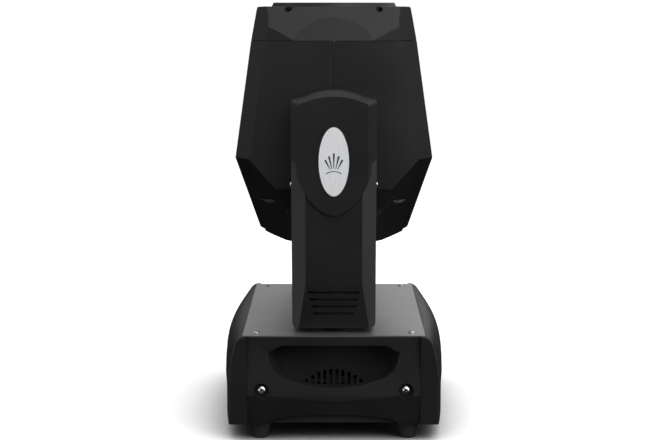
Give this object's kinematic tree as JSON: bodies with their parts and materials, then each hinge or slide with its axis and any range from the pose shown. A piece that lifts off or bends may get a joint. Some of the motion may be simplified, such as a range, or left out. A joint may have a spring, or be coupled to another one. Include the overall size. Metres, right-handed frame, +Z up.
{
  "type": "moving head light",
  "caption": "Moving head stage light: low base with hand recesses, U-shaped yoke that pans and a faceted tapering head that tilts.",
  "frame": {"origin": "on the floor under the rubber feet, at the pan axis", "axes": "+Z up along the pan axis; Y along the tilt axis; +X towards the display end of the base"},
  "size_m": [0.2752, 0.34, 0.525],
  "materials": {
    "black_shell": "fine textured matt black",
    "black_cover": "fine textured matt black",
    "liner_plastic": "matt black",
    "panel_plastic": "satin black",
    "key_plastic": "satin grey",
    "display_glass": "gloss dark display",
    "plate_steel": "satin graphite paint",
    "tray_steel": "semi-matt black paint",
    "frame_steel": "zinc-plated",
    "shaft_steel": "turned",
    "bearing_steel": "polished",
    "screw_steel": "nickel-plated",
    "dark_screws": "black oxide",
    "aluminium": "satin",
    "rubber": "matt",
    "belt_rubber": null,
    "motor_steel": "black painted motor",
    "board": "circuit board",
    "fan_plastic": "moulded",
    "badge_silver": "satin silver",
    "lens_glass": "polished",
    "socket_metal": "nickel-plated",
    "inlet_plastic": "blue moulded mains inlet"
  },
  "bodies": {
    "base": {"base_tray": "tray_steel", "quarter_turn_sockets": "frame_steel", "base_top_plate": "plate_steel", "top_plate_screws": "screw_steel", "side_cover_left": "black_cover", "side_cover_right": "black_cover", "display_end_cap": "black_cover", "connector_end_cap": "black_cover", "display_bezel": "panel_plastic", "display_window": "display_glass", "connector_plate": "tray_steel", "power_inlet": "inlet_plastic", "data_sockets": "socket_metal", "rubber_feet": "rubber", "cover_screws": "screw_steel", "pan_support_plate": "frame_steel", "pan_bearing": "bearing_steel", "pan_motor": "motor_steel", "pan_belt": "belt_rubber", "power_supply": "frame_steel", "main_board": "board", "base_fan_frame": "fan_plastic"},
    "pan_motor_shaft": {"pan_motor_pulley": "aluminium"},
    "base_fan": {"base_fan_rotor": "fan_plastic"},
    "menu_key": {"key_menu": "key_plastic"},
    "up_key": {"key_up": "key_plastic"},
    "down_key": {"key_down": "key_plastic"},
    "enter_key": {"key_enter": "key_plastic"},
    "yoke": {"yoke_frame": "frame_steel", "pan_shaft": "shaft_steel", "pan_pulley": "aluminium", "arm_cover_left": "black_shell", "arm_cover_right": "black_shell", "arm_liner_left": "liner_plastic", "arm_liner_right": "liner_plastic", "bridge_cover": "liner_plastic", "badges": "badge_silver", "arm_cover_screws": "screw_steel", "tilt_bearings": "bearing_steel", "tilt_motor": "motor_steel", "tilt_belt": "belt_rubber"},
    "tilt_motor_shaft": {"tilt_motor_pulley": "aluminium"},
    "head": {"front_cap": "black_shell", "head_cover_front": "black_shell", "head_cover_rear": "black_shell", "lens_ring": "black_cover", "front_lens": "lens_glass", "head_cover_screws": "dark_screws", "head_frame": "frame_steel", "guide_rods": "shaft_steel", "trunnions": "shaft_steel", "tilt_pulley": "aluminium", "heat_sink": "aluminium", "light_engine": "board", "wheel_motors": "motor_steel", "head_fan_frame": "fan_plastic"},
    "colour_wheel": {"colour_wheel": "aluminium"},
    "pattern_wheel": {"pattern_wheel": "aluminium"},
    "focus_carriage": {"focus_carriage": "aluminium"},
    "head_fan": {"head_fan_rotor": "fan_plastic"}
  },
  "joints": [
    {"name": "pan", "type": "hinge", "parent": "base", "child": "yoke", "pos_m": [0, 0, 0.1], "axis": [0, 0, 1], "range_deg": [-270, 270]},
    {"name": "pan_motor_spin", "type": "hinge", "parent": "base", "child": "pan_motor_shaft", "pos_m": [0, 0.092, 0.1], "axis": [0, 0, 1], "range_deg": [-1620.5, 1620.5]},
    {"name": "tilt", "type": "hinge", "parent": "yoke", "child": "head", "pos_m": [0, 0, 0.345], "axis": [0, 1, 0], "range_deg": [-135, 135]},
    {"name": "tilt_motor_spin", "type": "hinge", "parent": "yoke", "child": "tilt_motor_shaft", "pos_m": [0, -0.14, 0.225], "axis": [0, 1, 0], "range_deg": [-684.5, 684.5]},
    {"name": "colour_wheel_spin", "type": "hinge", "parent": "head", "child": "colour_wheel", "pos_m": [-0.048, 0, 0.328], "axis": [0, 0, 1], "continuous": true},
    {"name": "pattern_wheel_spin", "type": "hinge", "parent": "head", "child": "pattern_wheel", "pos_m": [0.048, 0, 0.336], "axis": [0, 0, 1], "continuous": true},
    {"name": "focus_slide", "type": "slide", "parent": "head", "child": "focus_carriage", "axis": [0, 0, 1], "range_m": [-0.015, 0.035]},
    {"name": "head_fan_spin", "type": "hinge", "parent": "head", "child": "head_fan", "pos_m": [0, 0, 0.24], "axis": [0, 0, 1], "continuous": true},
    {"name": "base_fan_spin", "type": "hinge", "parent": "base", "child": "base_fan", "pos_m": [0, -0.125, 0.066], "axis": [0, 1, 0], "continuous": true},
    {"name": "menu_key_press", "type": "slide", "parent": "base", "child": "menu_key", "axis": [-1, 0, 0], "range_m": [0, 0.001], "stiffness_N_per_m": 600, "springref_m": -0.001},
    {"name": "up_key_press", "type": "slide", "parent": "base", "child": "up_key", "axis": [-1, 0, 0], "range_m": [0, 0.001], "stiffness_N_per_m": 600, "springref_m": -0.001},
    {"name": "down_key_press", "type": "slide", "parent": "base", "child": "down_key", "axis": [-1, 0, 0], "range_m": [0, 0.001], "stiffness_N_per_m": 600, "springref_m": -0.001},
    {"name": "enter_key_press", "type": "slide", "parent": "base", "child": "enter_key", "axis": [-1, 0, 0], "range_m": [0, 0.001], "stiffness_N_per_m": 600, "springref_m": -0.001}
  ],
  "couplings": [
    {"joint": "pan_motor_spin", "follows": "pan", "ratio": 6},
    {"joint": "tilt_motor_spin", "follows": "tilt", "ratio": 5.0667}
  ]
}
